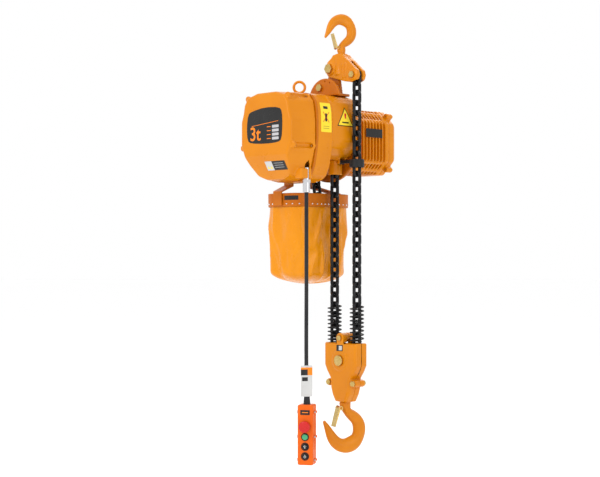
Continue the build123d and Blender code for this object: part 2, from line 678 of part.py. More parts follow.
def make_gear_train():
    half_gap = 180 / GEAR_TEETH
    to_1 = math.degrees(math.atan2(COUNTER_1[1] - AXIS_Z, COUNTER_1[0] - AXIS_Y))
    to_2 = math.degrees(math.atan2(COUNTER_2[1] - AXIS_Z, COUNTER_2[0] - AXIS_Y))
    make_gear("gear_1", *COUNTER_1, GEAR_TEETH, to_1 + 180 + half_gap, *STAGES[0], COUNTER_R)
    make_gear("gear_2", *COUNTER_2, GEAR_TEETH, 180 + half_gap, *STAGES[1], COUNTER_R)
    make_gear("main_gear", AXIS_Y, AXIS_Z, GEAR_TEETH, to_2 + half_gap, *STAGES[2], HOLLOW_R)

    with BuildPart() as counter_1:
        disc(*COUNTER_1, COUNTER_R, COVER_X1, CASE_X1)
        with BuildSketch(Plane.YZ.offset(STAGES[1][0])):
            gear_face(*COUNTER_1, PINION_TEETH, 0)
        extrude(amount=STAGES[1][1] - STAGES[1][0])
    save(counter_1.part, "countershaft_1")
    with BuildPart() as counter_2:
        disc(*COUNTER_2, COUNTER_R, COVER_X1, CASE_X1)
        with BuildSketch(Plane.YZ.offset(STAGES[2][0])):
            gear_face(*COUNTER_2, PINION_TEETH, to_2 + 180)
        extrude(amount=STAGES[2][1] - STAGES[2][0])
    save(counter_2.part, "countershaft_2")

    with BuildPart() as load_sheave:
        add(make_sheave(AXIS_Y, AXIS_Z, 0, HOLLOW_BORE))
        disc(AXIS_Y, AXIS_Z, HOLLOW_R, STAGES[2][0], FLANGE_X1 - 4)
        disc(AXIS_Y, AXIS_Z, HOLLOW_BORE, STAGES[2][0] - 1, FLANGE_X1, mode=Mode.SUBTRACT)
    save(load_sheave.part, "load_sheave")

    # motor shaft, with the first pinion cut on its end
    with BuildPart() as shaft:
        disc(AXIS_Y, AXIS_Z, SHAFT_R, COVER_X1 + 1, MOTOR_X1 + 20)
        with BuildSketch(Plane.YZ.offset(STAGES[0][0])):
            gear_face(AXIS_Y, AXIS_Z, PINION_TEETH, to_1)
        extrude(amount=STAGES[0][1] - STAGES[0][0])
    save(shaft.part, "motor_shaft")


# ---------------------------------------------------------------- motor
def motor_face(half, corner):
    """The motor's eight-sided section, grown or shrunk to half its width."""
    k = half / MOTOR_HALF
    points = [(AXIS_Y + dy * k, AXIS_Z + dz * k) for dy, dz in MOTOR_OUTLINE]
    points += [(AXIS_Y - dy * k, AXIS_Z + dz * k) for dy, dz in reversed(MOTOR_OUTLINE)]
    with BuildLine() as edge:
        Polyline(*points, close=True)
    face = make_face(edge.edges())
    fillet(face.vertices(), corner * k)


def make_motor():
    with BuildPart() as flange:
        with BuildSketch(Plane.YZ.offset(MID_X1)):
            with Locations((AXIS_Y, AXIS_Z)):
                Circle(125)
            with Locations((AXIS_Y, AXIS_Z + 175)):
                Rectangle(300, 96, mode=Mode.SUBTRACT)
        extrude(amount=FLANGE_X1 - MID_X1)
        disc(AXIS_Y, AXIS_Z, HOLLOW_R + FIT, MID_X1 - 1, FLANGE_X1 - 4 + CLEAR, mode=Mode.SUBTRACT)
        disc(AXIS_Y, AXIS_Z, SHAFT_R + FIT, MID_X1, FLANGE_X1 + 1, mode=Mode.SUBTRACT)
        fillet(flange.edges().group_by(Axis.X)[-1].sort_by(SortBy.LENGTH)[-1], 3)
    save(flange.part, "motor_flange")

    with BuildPart() as frame:
        with BuildSketch(Plane.YZ.offset(FLANGE_X1)):
            motor_face(86, 12)
        extrude(amount=MOTOR_X1 - FLANGE_X1)
        for x0, length in ((FLANGE_X1, 14), (MOTOR_X1 - 10, 10)):
            with BuildSketch(Plane.YZ.offset(x0)):
                motor_face(MOTOR_HALF, 12)
            extrude(amount=length)
        for n in range(FINS):
            with BuildSketch(Plane.YZ.offset(FLANGE_X1 + 24 + FIN_STEP * n)):
                motor_face(MOTOR_HALF - 1, 12)
            extrude(amount=FIN_T)
        for dy, dz in FIN_BANDS:
            block(FLANGE_X1, MOTOR_X1, AXIS_Y + dy - 5, AXIS_Y + dy + 5, AXIS_Z + dz - 5, AXIS_Z + dz + 5)
        disc(AXIS_Y, AXIS_Z, STATOR_R, FLANGE_X1 - 1, MOTOR_X1 + 1, mode=Mode.SUBTRACT)
    save(frame.part, "motor_frame")

    with BuildPart() as end_cap:
        with BuildSketch(Plane.YZ.offset(MOTOR_X1)):
            motor_face(MOTOR_HALF, 12)
        extrude(amount=22)
        for near, far, near_half, far_half in CAP_STEPS:
            with BuildSketch(Plane.YZ.offset(MOTOR_X1 + near)):
                motor_face(near_half, 12)
            with BuildSketch(Plane.YZ.offset(MOTOR_X1 + far)):
                motor_face(far_half, 12)
            loft()
        for y, z in CAP_LUGS:
            disc(AXIS_Y + y, AXIS_Z + z, 9, MOTOR_X1, MOTOR_X1 + 26)
        disc(AXIS_Y, AXIS_Z, CAP_ROOM_R, MOTOR_X1 - 1, MOTOR_X1 + 26, mode=Mode.SUBTRACT)
        for y, z in CAP_LUGS:
            disc(AXIS_Y + y, AXIS_Z + z, 3, MOTOR_X1 - 1, MOTOR_X1 + 30, mode=Mode.SUBTRACT)
    save(end_cap.part, "motor_end_cap")
    screws = []
    for y, z in CAP_LUGS:
        with BuildPart() as screw:
            disc(AXIS_Y + y, AXIS_Z + z, 3, MOTOR_X1, MOTOR_X1 + 26)
            with BuildSketch(Plane.YZ.offset(MOTOR_X1 + 26)):
                with Locations((AXIS_Y + y, AXIS_Z + z)):
                    RegularPolygon(5, 6)
            extrude(amount=4)
        screws.append(screw.part)
    save_group(screws, "motor_screws")

    rings = (
        ("stator", STATOR_R - 0.02, ROTOR_R + 0.6, 62, 150),
        ("rotor_core", ROTOR_R, SHAFT_R, 64, 148),
        ("brake_coil", 58, SHAFT_R + 2, 160, 178),
        ("brake_armature", 56, SHAFT_R + 2, 180, 184),
        ("brake_disc", 60, SHAFT_R, 185, 191),
    )
    for name, outer, inner, x0, x1 in rings:
        with BuildPart() as ring:
            with BuildSketch(Plane.YZ.offset(x0)):
                with Locations((AXIS_Y, AXIS_Z)):
                    Circle(outer)
                    Circle(inner, mode=Mode.SUBTRACT)
            extrude(amount=x1 - x0)
            if name == "brake_coil":
                for turn in (45, 135, 225, 315):
                    along = (0, math.cos(math.radians(turn)), math.sin(math.radians(turn)))
                    arm = Plane(origin=(x0, AXIS_Y, AXIS_Z), x_dir=(1, 0, 0), z_dir=along)
                    with BuildSketch(arm.offset(50)):
                        with Locations((6, 0)):
                            Rectangle(12, 16)
                    extrude(amount=STATOR_R - 50 - 1.2)
        save(ring.part, name)


# ---------------------------------------------------------------- chain bag
def bag_face(grow, corner):
    """The bag's plan, a rectangle with wide corners."""
    with Locations((0, BAG_Y)):
        RectangleRounded(2 * (BAG_HALF_X + grow), 2 * (BAG_HALF_Y + grow), corner + grow)


def make_bag():
    with BuildPart() as bag:
        for inset in (0, BAG_WALL):
            mode = Mode.SUBTRACT if inset else Mode.ADD
            with BuildSketch(Plane.XY.offset(BAG_TAPER_Z)):
                bag_face(-inset, BAG_CORNER)
            extrude(amount=BAG_TOP - BAG_TAPER_Z + (1 if inset else 0), mode=mode)
            with BuildSketch(Plane.XY.offset(BAG_TAPER_Z)):
                bag_face(-inset, BAG_CORNER)
            with BuildSketch(Plane.XY.offset(BAG_LOW + inset)):
                bag_face(-30 - inset, 40)
            loft(mode=mode)
    save(bag.part, "chain_bag")
    with BuildPart() as rim:
        with BuildSketch(Plane.XY.offset(RIM_LOW)):
            bag_face(3.4, BAG_CORNER)
            with Locations((0, BAG_Y)):
                RectangleRounded(
                    2 * BAG_HALF_X + 0.8,
                    2 * BAG_HALF_Y + 0.8,
                    BAG_CORNER + 0.4,
                    mode=Mode.SUBTRACT,
                )
        extrude(amount=BAG_TOP - RIM_LOW)
    save(rim.part, "bag_rim")
    straps = []
    for side, foot in ((-1, 76), (1, 10)):
        hip = -477.0
        points = [
            (foot, CASE_LOW - CLEAR), (foot + 6, CASE_LOW - CLEAR), (foot + 6, hip), (BAG_HALF_X + 7.5, -497),
            (BAG_HALF_X + 7.5, -540), (BAG_HALF_X + 3.8, -540), (BAG_HALF_X + 3.8, -500), (foot, hip - 4),
        ]
        with BuildPart() as strap:
            with BuildSketch(Plane.XZ.offset(-STRAP_Y)):
                with BuildLine():
                    Polyline(*[(side * x, z) for x, z in points], close=True)
                make_face()
            extrude(amount=STRAP_HALF, both=True)
        straps.append(strap.part)
    save_group(straps, "bag_hanger")


# ---------------------------------------------------------------- hook block
# Half outline, as distance from the load line and height.
BLOCK_OUTLINE = [
    (24, -951), (66, -951), (66, -1018), (57, -1036), (43, -1056), (40, -1086), (34, -1106), (22, -1127),
]


def make_block_half(side):
    low, high = sorted((side * 0.1, side * BLOCK_HALF_X))
    with BuildPart() as half:
        with BuildSketch(Plane.YZ.offset(low)):
            outline(BLOCK_OUTLINE, BLOCK_Y, 0)
        extrude(amount=high - low)
        fillet(half.edges().group_by(Axis.X)[-1 if side > 0 else 0], 9)
        for dy, z in BLOCK_BOLTS:
            b0, b1 = sorted((side * 0.1, side * 20))
            if dy:
                disc(BLOCK_Y + dy, z, 11, b0, b1)
                block(b0, b1, *sorted((BLOCK_Y, BLOCK_Y + dy)), z - 9, z + 9)
            else:
                disc(BLOCK_Y, z, 15, low, high)
                block(low, high, BLOCK_Y - 13, BLOCK_Y + 13, z - 26, z)
        # neck round the hook's shank
        with BuildSketch(Plane.XY.offset(-1127)):
            with Locations((0, BLOCK_Y)):
                Circle(24)
        extrude(amount=12)
        disc(BLOCK_Y, BLOCK_Z, 30, *sorted((side * 10, side * (BLOCK_HALF_X + 2))))
        block(*sorted((-side * 40, side * 0.1)), -120, 90, -1200, -900, mode=Mode.SUBTRACT)
        # room for the sheave, the chain, the hook's nut and its shank
        disc(BLOCK_Y, BLOCK_Z, FALL_R + 9, -22, 22, mode=Mode.SUBTRACT)
        disc(BLOCK_Y, BLOCK_Z, FALL_R + LINK_R + 1.2, -6.4, 6.4, mode=Mode.SUBTRACT)
        with BuildSketch(Plane.XY.offset(BLOCK_Z)):
            for y in (LIVE_Y, DEAD_Y):
                with Locations((0, y)):
                    Circle(LINK_R + 0.6)
        extrude(amount=80, mode=Mode.SUBTRACT)
        with BuildSketch(Plane.XY.offset(-1098)):
            with Locations((0, BLOCK_Y)):
                Circle(22)
        extrude(amount=26, mode=Mode.SUBTRACT)
        with BuildSketch(Plane.XY.offset(-1140)):
            with Locations((0, BLOCK_Y)):
                Circle(15 + FIT)
        extrude(amount=60, mode=Mode.SUBTRACT)
        disc(BLOCK_Y, BLOCK_Z, 14, -40, 40, mode=Mode.SUBTRACT)
        for dy, z in BLOCK_BOLTS:
            disc(BLOCK_Y + dy, z, 4, -40, 40, mode=Mode.SUBTRACT)
    return half.part


def make_spring(y):
    turns = (SPRING_TOP - SPRING_LOW) / SPRING_PITCH
    with BuildPart() as spring:
        with BuildLine() as wire:
            Helix(SPRING_PITCH, turns * SPRING_PITCH, SPRING_R)
        with BuildSketch(Plane(origin=wire.line @ 0, z_dir=wire.line % 0)):
            Circle(SPRING_WIRE)
        sweep(is_frenet=True)
    return spring.part.moved(Location((0, y, SPRING_LOW)))


def make_hook_block():
    save(make_block_half(-1), "block_front")
    save(make_block_half(1), "block_rear")
    with BuildPart() as axle:
        disc(BLOCK_Y, BLOCK_Z, 14, -BLOCK_HALF_X - 2, BLOCK_HALF_X + 2)
        disc(BLOCK_Y, BLOCK_Z, 16, -BLOCK_HALF_X - 9, -BLOCK_HALF_X - 2)
        disc(BLOCK_Y, BLOCK_Z, 16, BLOCK_HALF_X + 2, BLOCK_HALF_X + 9)
        fillet(axle.edges().group_by(Axis.X)[0], 2)
        fillet(axle.edges().group_by(Axis.X)[-1], 2)
    save(axle.part, "block_axle")
    bolts = []
    for dy, z in BLOCK_BOLTS:
        reach = 20 if dy else BLOCK_HALF_X
        bolts.append(bolt_x(BLOCK_Y + dy, z, 4, -reach, reach, 9, 6, True))
    save_group(bolts, "block_bolts")
    save_group([make_spring(LIVE_Y), make_spring(DEAD_Y)], "block_springs")
    save(make_sheave(BLOCK_Y, BLOCK_Z, STEP, 14 + FIT), "block_sheave")


# ---------------------------------------------------------------- pendant
def pendant_plane(forward):
    """A plane across the pendant, forward of its middle. Its y is height."""
    across = (FRONT[1] * -1, FRONT[0], 0)
    centre = (PENDANT_X + FRONT[0] * forward, PENDANT_Y + FRONT[1] * forward, 0)
    return Plane(origin=centre, x_dir=across, z_dir=FRONT)


def make_pendant():
    half_d = PENDANT_D / 2
    lug_y = PENDANT_W / 2 + 3
    middle = (PENDANT_TOP + PENDANT_LOW) / 2
    height = PENDANT_TOP - PENDANT_LOW
    screw_z = (PENDANT_TOP - 22, middle - 6, PENDANT_LOW + 14)
    # name, where the half starts and ends, its outer face, where its hollow and its lugs start
    halves = (
        ("pendant_front", 0.1, half_d, -1, -1, 0.1),
        ("pendant_rear", -half_d, -0.1, 0, 3 - half_d, -7),
    )
    for name, near, far, outer, room, lugs in halves:
        with BuildPart() as shell:
            with BuildSketch(pendant_plane(near)):
                with Locations((0, middle)):
                    RectangleRounded(PENDANT_W, height, 5)
            extrude(amount=far - near)
            face = shell.faces().sort_by(Axis(origin=(0, 0, 0), direction=FRONT))[outer]
            chamfer(face.edges(), 2.5)
            for z in screw_z:
                with BuildSketch(pendant_plane(lugs)):
                    with Locations((0, z)):
                        SlotOverall(PENDANT_W + 13, 9)
                extrude(amount=6.9)
            with BuildSketch(pendant_plane(room)):
                with Locations((0, middle)):
                    Rectangle(PENDANT_W - 6, height - 6)
            extrude(amount=half_d - 2, mode=Mode.SUBTRACT)
            if name == "pendant_front":
                for _, z, r, _, _ in BUTTONS:
                    with BuildSketch(pendant_plane(0)):
                        with Locations((0, z)):
                            Circle(min(r, 12) - 1.2)
                    extrude(amount=40, mode=Mode.SUBTRACT)
            for z in screw_z:
                with BuildSketch(pendant_plane(-20)):
                    with Locations((lug_y, z), (-lug_y, z)):
                        Circle(1.5)
                extrude(amount=40, mode=Mode.SUBTRACT)
        save(shell.part, name)

    screws = []
    for z in screw_z:
        for y in (-lug_y, lug_y):
            with BuildPart() as screw:
                for r, start, length in ((1.5, -6.8, 13.8), (2.6, 7, 2.2)):
                    with BuildSketch(pendant_plane(start)):
                        with Locations((y, z)):
                            Circle(r)
                    extrude(amount=length)
            screws.append(screw.part)
    save_group(screws, "pendant_screws")

    contacts = []
    for name, z, r, proud, stem in BUTTONS:
        with BuildPart() as button:
            with BuildSketch(pendant_plane(half_d - 5 - stem)):
                with Locations((0, z)):
                    Circle(min(r, 12) - 1.5)
            extrude(amount=stem + 5 + proud)
            if name == "estop_button":
                with BuildSketch(pendant_plane(half_d + PRESS + 0.6)):
                    with Locations((0, z)):
                        Circle(r)
                extrude(amount=proud)
            ends = button.edges().sort_by(Axis(origin=(0, 0, 0), direction=FRONT))[-1]
            fillet(ends, min(proud * 0.4, 3))
        save(button.part, name)
        with BuildPart() as contact:
            with BuildSketch(pendant_plane(3 - half_d)):
                with Locations((0, z)):
                    Rectangle(26, 20)
            extrude(amount=2 * half_d - 8 - stem - PRESS - 0.6)
        contacts.append(contact.part)
    save_group(contacts, "contact_blocks")


def make_cable():
    """The pendant's cable hangs straight, from inside the gland to the pendant's boot."""
    with BuildPart() as cable:
        with BuildSketch(Plane.XY.offset(CABLE_TOP)):
            with Locations((GLAND_X, PENDANT_Y)):
                Circle(CABLE_R)
        with BuildSketch(Plane.XY.offset(PENDANT_TOP + 0.05)):
            with Locations((PENDANT_X, PENDANT_Y)):
                Circle(CABLE_R)
        loft()
    save(cable.part, "pendant_cable")
    with BuildPart() as boot:
        with BuildSketch(Plane.XY.offset(PENDANT_TOP + 0.05)):
            with Locations((PENDANT_X, PENDANT_Y)):
                Circle(10.5)
        with BuildSketch(Plane.XY.offset(PENDANT_TOP + 26)):
            with Locations((PENDANT_X, PENDANT_Y)):
                Circle(8)
        loft()
        fillet(boot.edges().group_by(Axis.Z)[-1], 0.8)
        with BuildSketch(Plane.XY.offset(PENDANT_TOP)):
            with Locations((PENDANT_X, PENDANT_Y)):
                Circle(CABLE_R + 0.15)
        extrude(amount=40, mode=Mode.SUBTRACT)
    save(boot.part, "pendant_boot")
    with BuildPart() as gland:
        with BuildSketch(Plane.XY.offset(GLAND_Z1 - 12)):
            with Locations((GLAND_X, PENDANT_Y)):
                RegularPolygon(12.4, 6)
        extrude(amount=9)
        with BuildSketch(Plane.XY.offset(GLAND_Z1 - 12)):
            with Locations((GLAND_X, PENDANT_Y)):
                Circle(GLAND_HOLE - FIT)
        extrude(amount=44)
        with BuildSketch(Plane.XY.offset(GLAND_Z0)):
            with Locations((GLAND_X, PENDANT_Y)):
                Circle(10.8)
        extrude(amount=GLAND_Z1 - 12 - GLAND_Z0)
        fillet(gland.edges().group_by(Axis.Z)[0], 1.2)
        with BuildSketch(Plane.XY.offset(GLAND_Z0 - 1)):
            with Locations((GLAND_X, PENDANT_Y)):
                Circle(9.2)
        extrude(amount=24, mode=Mode.SUBTRACT)
        with BuildSketch(Plane.XY.offset(GLAND_Z0)):
            with Locations((GLAND_X, PENDANT_Y)):
                Circle(5)
        extrude(amount=100, mode=Mode.SUBTRACT)
    save(gland.part, "cable_gland")


def main():
    make_chain()
    make_hooks()
    make_suspension()
    make_housings()
    make_gear_train()
    make_motor()
    make_bag()
    make_hook_block()
    make_pendant()
    make_cable()


if __name__ == "__main__":
    main()
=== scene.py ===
"""The looks of the chain hoist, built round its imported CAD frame. Metres, in the same axes as the CAD."""

import json
import math

import bmesh
import bpy
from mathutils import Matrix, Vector, noise
from mathutils.bvhtree import BVHTree


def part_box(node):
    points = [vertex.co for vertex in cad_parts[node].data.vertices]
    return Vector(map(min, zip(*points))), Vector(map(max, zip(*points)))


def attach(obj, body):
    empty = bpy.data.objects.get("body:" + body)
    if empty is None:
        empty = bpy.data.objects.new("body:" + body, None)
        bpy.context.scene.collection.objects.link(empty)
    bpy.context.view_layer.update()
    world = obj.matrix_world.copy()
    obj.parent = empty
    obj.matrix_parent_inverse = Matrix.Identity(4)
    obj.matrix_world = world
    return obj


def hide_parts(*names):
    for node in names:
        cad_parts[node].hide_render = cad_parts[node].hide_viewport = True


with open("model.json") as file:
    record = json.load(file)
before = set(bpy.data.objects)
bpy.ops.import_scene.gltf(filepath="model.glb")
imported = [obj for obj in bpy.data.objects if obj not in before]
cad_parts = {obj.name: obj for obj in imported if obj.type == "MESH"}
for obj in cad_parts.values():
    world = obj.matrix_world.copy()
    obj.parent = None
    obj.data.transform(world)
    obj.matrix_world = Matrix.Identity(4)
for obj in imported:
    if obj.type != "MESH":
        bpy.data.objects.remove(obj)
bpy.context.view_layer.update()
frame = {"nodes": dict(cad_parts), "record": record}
NODES = frame["nodes"]
BODY_OF = {n: b for b, nodes in frame["record"]["behaviour"]["bodies"].items() for n in nodes}
SLOT_OF = {s["node"]: s["material_slot"] for s in frame["record"]["subparts"]}
MM = 0.001
SPECULAR = 0.18              # Specular IOR Level of every finish
COAT_ROUGH = 0.12
RING_STEP = 12               # degrees between the points of a button's collar
scene = bpy.context.scene


# ---------------------------------------------------------------- camera, floor and light
VIEW_TURN = math.radians(-44)
VIEW_DISTANCE = 4.2
VIEW_HEIGHT = -0.692
AXIS_RIGHT = 0.1245          # how far the hoist's axis lies to the right of the middle
LIGHT_TARGET = Vector((0, 0, -0.6))
FORWARD = Vector((-math.sin(VIEW_TURN), math.cos(VIEW_TURN), 0))
RIGHT = Vector((math.cos(VIEW_TURN), math.sin(VIEW_TURN), 0))


def make_camera():
    data = bpy.data.cameras.new("camera")
    data.lens = 84
    data.sensor_width = 36
    data.shift_y = 0.0292
    camera = bpy.data.objects.new("camera", data)
    place = -VIEW_DISTANCE * FORWARD - AXIS_RIGHT * RIGHT
    camera.location = (place.x, place.y, VIEW_HEIGHT)
    camera.rotation_euler = (math.radians(90), 0, VIEW_TURN)
    scene.collection.objects.link(camera)
    scene.camera = camera


def area_light(name, place, size, power):
    data = bpy.data.lights.new(name, "AREA")
    data.shape = "RECTANGLE"
    data.size, data.size_y = size
    data.energy = power
    light = bpy.data.objects.new(name, data)
    light.location = place
    light.rotation_euler = (LIGHT_TARGET - Vector(place)).to_track_quat("-Z", "Y").to_euler()
    scene.collection.objects.link(light)


def make_stage():
    bpy.ops.mesh.primitive_circle_add(vertices=64, radius=40, fill_type="NGON", location=(0, 0, -1.42))
    floor = bpy.context.object
    floor.name = "floor"
    material = bpy.data.materials.new("floor")
    material.use_nodes = True
    shader = material.node_tree.nodes["Principled BSDF"]
    shader.inputs["Base Color"].default_value = (1, 1, 1, 1)
    shader.inputs["Roughness"].default_value = 0.9
    floor.data.materials.append(material)
    world = bpy.data.worlds.new("studio")
    world.use_nodes = True
    world.node_tree.nodes["Background"].inputs["Color"].default_value = (1, 1, 1, 1)
    world.node_tree.nodes["Background"].inputs["Strength"].default_value = 1.0
    scene.world = world
    scene.view_settings.view_transform = "Standard"
    scene.view_settings.look = "None"
    left = -2.2 * FORWARD - 2.2 * RIGHT
    area_light("key", (left.x, left.y, 1.1), (1.6, 1.6), 40)
    side = -2.4 * FORWARD + 1.9 * RIGHT
    area_light("fill", (side.x, side.y, -0.3), (0.9, 2.2), 12)
    back = 2.2 * FORWARD + 1.2 * RIGHT
    area_light("rim", (back.x, back.y, 1.2), (2.0, 1.2), 20)
    area_light("top", (0, 0, 2.4), (2.5, 2.5), 16)


# ---------------------------------------------------------------- materials
def new_material(name, color, rough, metal, coat):
    material = bpy.data.materials.new(name)
    material.use_nodes = True
    tree = material.node_tree
    shader = tree.nodes["Principled BSDF"]
    shader.inputs["Base Color"].default_value = (*color, 1)
    shader.inputs["Roughness"].default_value = rough
    shader.inputs["Metallic"].default_value = metal
    shader.inputs["Coat Weight"].default_value = coat
    shader.inputs["Specular IOR Level"].default_value = SPECULAR
    shader.inputs["Coat Roughness"].default_value = COAT_ROUGH
    coords = tree.nodes.new("ShaderNodeTexCoord")
    return material, tree, shader, coords.outputs["Object"]


def noise_node(tree, place, scale, detail, stretch):
    texture = tree.nodes.new("ShaderNodeTexNoise")
    texture.inputs["Scale"].default_value = scale
    texture.inputs["Detail"].default_value = detail
    if stretch:
        mapping = tree.nodes.new("ShaderNodeMapping")
        mapping.inputs["Scale"].default_value = stretch
        tree.links.new(place, mapping.inputs["Vector"])
        place = mapping.outputs["Vector"]
    tree.links.new(place, texture.inputs["Vector"])
    return texture.outputs["Fac"]


def ramp(tree, value, stops):
    node = tree.nodes.new("ShaderNodeValToRGB")
    for element, (position, color) in zip(node.color_ramp.elements, stops):
        element.position = position
        element.color = (*color, 1)
    tree.links.new(value, node.inputs["Fac"])
    return node.outputs["Color"]


def vary(tree, shader, place, scale, color_low, color_high, rough_low, rough_high, stretch):
    """Colour and roughness that drift over the surface."""
    drift = noise_node(tree, place, scale, 5, stretch)
    tree.links.new(ramp(tree, drift, [(0.3, color_low), (0.7, color_high)]), shader.inputs["Base Color"])
    spread = tree.nodes.new("ShaderNodeMapRange")
    spread.inputs["From Min"].default_value = 0.3
    spread.inputs["From Max"].default_value = 0.7
    spread.inputs["To Min"].default_value = rough_low
    spread.inputs["To Max"].default_value = rough_high
    tree.links.new(noise_node(tree, place, scale * 4, 6, stretch), spread.inputs["Value"])
    tree.links.new(spread.outputs["Result"], shader.inputs["Roughness"])


def bump(tree, shader, height, strength, distance):
    node = tree.nodes.new("ShaderNodeBump")
    node.inputs["Strength"].default_value = strength
    node.inputs["Distance"].default_value = distance
    tree.links.new(height, node.inputs["Height"])
    tree.links.new(node.outputs["Normal"], shader.inputs["Normal"])


def surface(
    name, low, high, rough, metal=0.0, coat=0.0, scale=20, grain=400, relief=0.05, depth=MM, stretch=None,
):
    """A finish: colour from low to high, roughness over a range, and a fine raised grain."""
    material, tree, shader, place = new_material(name, low, rough[0], metal, coat)
    vary(tree, shader, place, scale, low, high, *rough, stretch)
    bump(tree, shader, noise_node(tree, place, grain, 3, stretch), relief, depth)
    return material


ORANGE, ORANGE_HIGH = (0.60, 0.190, 0.0), (0.66, 0.222, 0.001)
MATERIALS = {
    "orange_paint": surface(
        "orange_paint", ORANGE, ORANGE_HIGH, (0.26, 0.36), coat=0.12, scale=9, grain=260, relief=0.06,
    ),
    "orange_paint_dark": surface(
        "orange_paint_dark", (0.44, 0.112, 0.0), (0.52, 0.145, 0.001), (0.3, 0.42), coat=0.08, grain=200,
        relief=0.12,
    ),
    "hook_paint": surface(
        "hook_paint", (0.56, 0.172, 0.0), (0.64, 0.212, 0.002), (0.28, 0.4), coat=0.1, grain=150, relief=0.15,
    ),
    "gold_zinc": surface(
        "gold_zinc", (0.50, 0.34, 0.10), (0.66, 0.47, 0.18), (0.22, 0.38), metal=1.0, scale=60, grain=900,
    ),
    "black_chain": surface(
        "black_chain", (0.010, 0.010, 0.011), (0.028, 0.028, 0.030), (0.28, 0.45), metal=0.55, scale=40,
    ),
    "black_steel": surface("black_steel", (0.012, 0.012, 0.012), (0.02, 0.02, 0.02), (0.3, 0.45), metal=0.2),
    "steel": surface(
        "steel", (0.45, 0.45, 0.45), (0.6, 0.6, 0.6), (0.22, 0.35), metal=1.0, stretch=(1, 12, 12),
    ),
    "gear_steel": surface("gear_steel", (0.3, 0.3, 0.3), (0.42, 0.42, 0.42), (0.25, 0.4), metal=1.0),
    "chrome": surface(
        "chrome", (0.62, 0.62, 0.64), (0.72, 0.72, 0.74), (0.08, 0.2), metal=1.0, grain=500, relief=0.02,
    ),
    "black_plastic": surface(
        "black_plastic", (0.012, 0.012, 0.012), (0.02, 0.02, 0.021), (0.35, 0.5), grain=900,
    ),
    "pendant_orange": surface(
        "pendant_orange", (0.68, 0.10, 0.003), (0.74, 0.125, 0.006), (0.35, 0.48), grain=900, relief=0.1,
    ),
    "red_plastic": surface("red_plastic", (0.50, 0.012, 0.012), (0.58, 0.02, 0.02), (0.25, 0.35), coat=0.2),
    "green_plastic": surface("green_plastic", (0.06, 0.33, 0.15), (0.08, 0.38, 0.19), (0.3, 0.4), coat=0.1),
    "cable_rubber": surface(
        "cable_rubber", (0.014, 0.014, 0.016), (0.024, 0.024, 0.026), (0.4, 0.55), grain=700,
    ),
    "bag_fabric": surface(
        "bag_fabric", (0.66, 0.222, 0.0), (0.74, 0.262, 0.002), (0.22, 0.32), coat=0.15, scale=6,
        grain=1400, relief=0.04, depth=0.3 * MM,
    ),
    "rim_fabric": surface(
        "rim_fabric", (0.43, 0.105, 0.0), (0.50, 0.13, 0.001), (0.35, 0.45), grain=1500, relief=0.15,
    ),
    "copper": surface("copper", (0.45, 0.16, 0.06), (0.55, 0.22, 0.09), (0.3, 0.45), metal=1.0),
    "lining": surface("lining", (0.09, 0.07, 0.05), (0.14, 0.11, 0.08), (0.7, 0.9)),
    "label_yellow": surface("label_yellow", (0.85, 0.62, 0.03), (0.9, 0.67, 0.04), (0.3, 0.4)),
    "label_white": surface("label_white", (0.50, 0.50, 0.49), (0.56, 0.56, 0.55), (0.35, 0.45)),
    "label_black": surface(
        "label_black", (0.010, 0.010, 0.010), (0.018, 0.018, 0.018), (0.22, 0.3), coat=0.2,
    ),
    "label_grey": surface("label_grey", (0.40, 0.40, 0.41), (0.48, 0.48, 0.49), (0.35, 0.45)),
    "label_orange": surface("label_orange", (0.85, 0.20, 0.01), (0.9, 0.24, 0.015), (0.3, 0.4)),
    "label_red": surface("label_red", (0.55, 0.02, 0.02), (0.62, 0.03, 0.03), (0.3, 0.4)),
}


def finish(piece, slot, body, material=None):
    """Gives a piece the material named, or else the slot's own material, and the body it rides on."""
    if len(piece.data.materials):
        piece.data.materials[0] = MATERIALS[material or slot]
    else:
        piece.data.materials.append(MATERIALS[material or slot])
    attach(piece, body)
    return piece


def dress_cad():
    for name, node in NODES.items():
        node.data.materials.clear()
        node.data.materials.append(MATERIALS[SLOT_OF[name]])


def apply_modifiers(piece):
    graph = bpy.context.evaluated_depsgraph_get()
    mesh = bpy.data.meshes.new_from_object(piece.evaluated_get(graph))
    old = piece.data
    piece.modifiers.clear()
    piece.data = mesh
    bpy.data.meshes.remove(old)


def smooth_shade(mesh):
    for face in mesh.polygons:
        face.use_smooth = True


def new_piece(name, mesh):
    piece = bpy.data.objects.new(name, mesh)
    scene.collection.objects.link(piece)
    return piece


def piece_from(name, work):
    """The piece that a finished bmesh makes."""
    mesh = bpy.data.meshes.new(name)
    work.to_mesh(mesh)
    work.free()
    return new_piece(name, mesh)


# ---------------------------------------------------------------- castings and forgings
def soften(node, voxel, rounds):
    """A cast or forged copy of a CAD node, with its edges rounded as they come out of a mould."""
    piece = new_piece("cast_" + node, NODES[node].data.copy())
    remesh = piece.modifiers.new("remesh", "REMESH")
    remesh.mode = "VOXEL"
    remesh.voxel_size = voxel * MM
    soft = piece.modifiers.new("soft", "SMOOTH")
    soft.factor = 0.5
    soft.iterations = rounds
    apply_modifiers(piece)
    smooth_shade(piece.data)
    finish(piece, SLOT_OF[node], BODY_OF[node])
    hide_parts(node)
    return piece


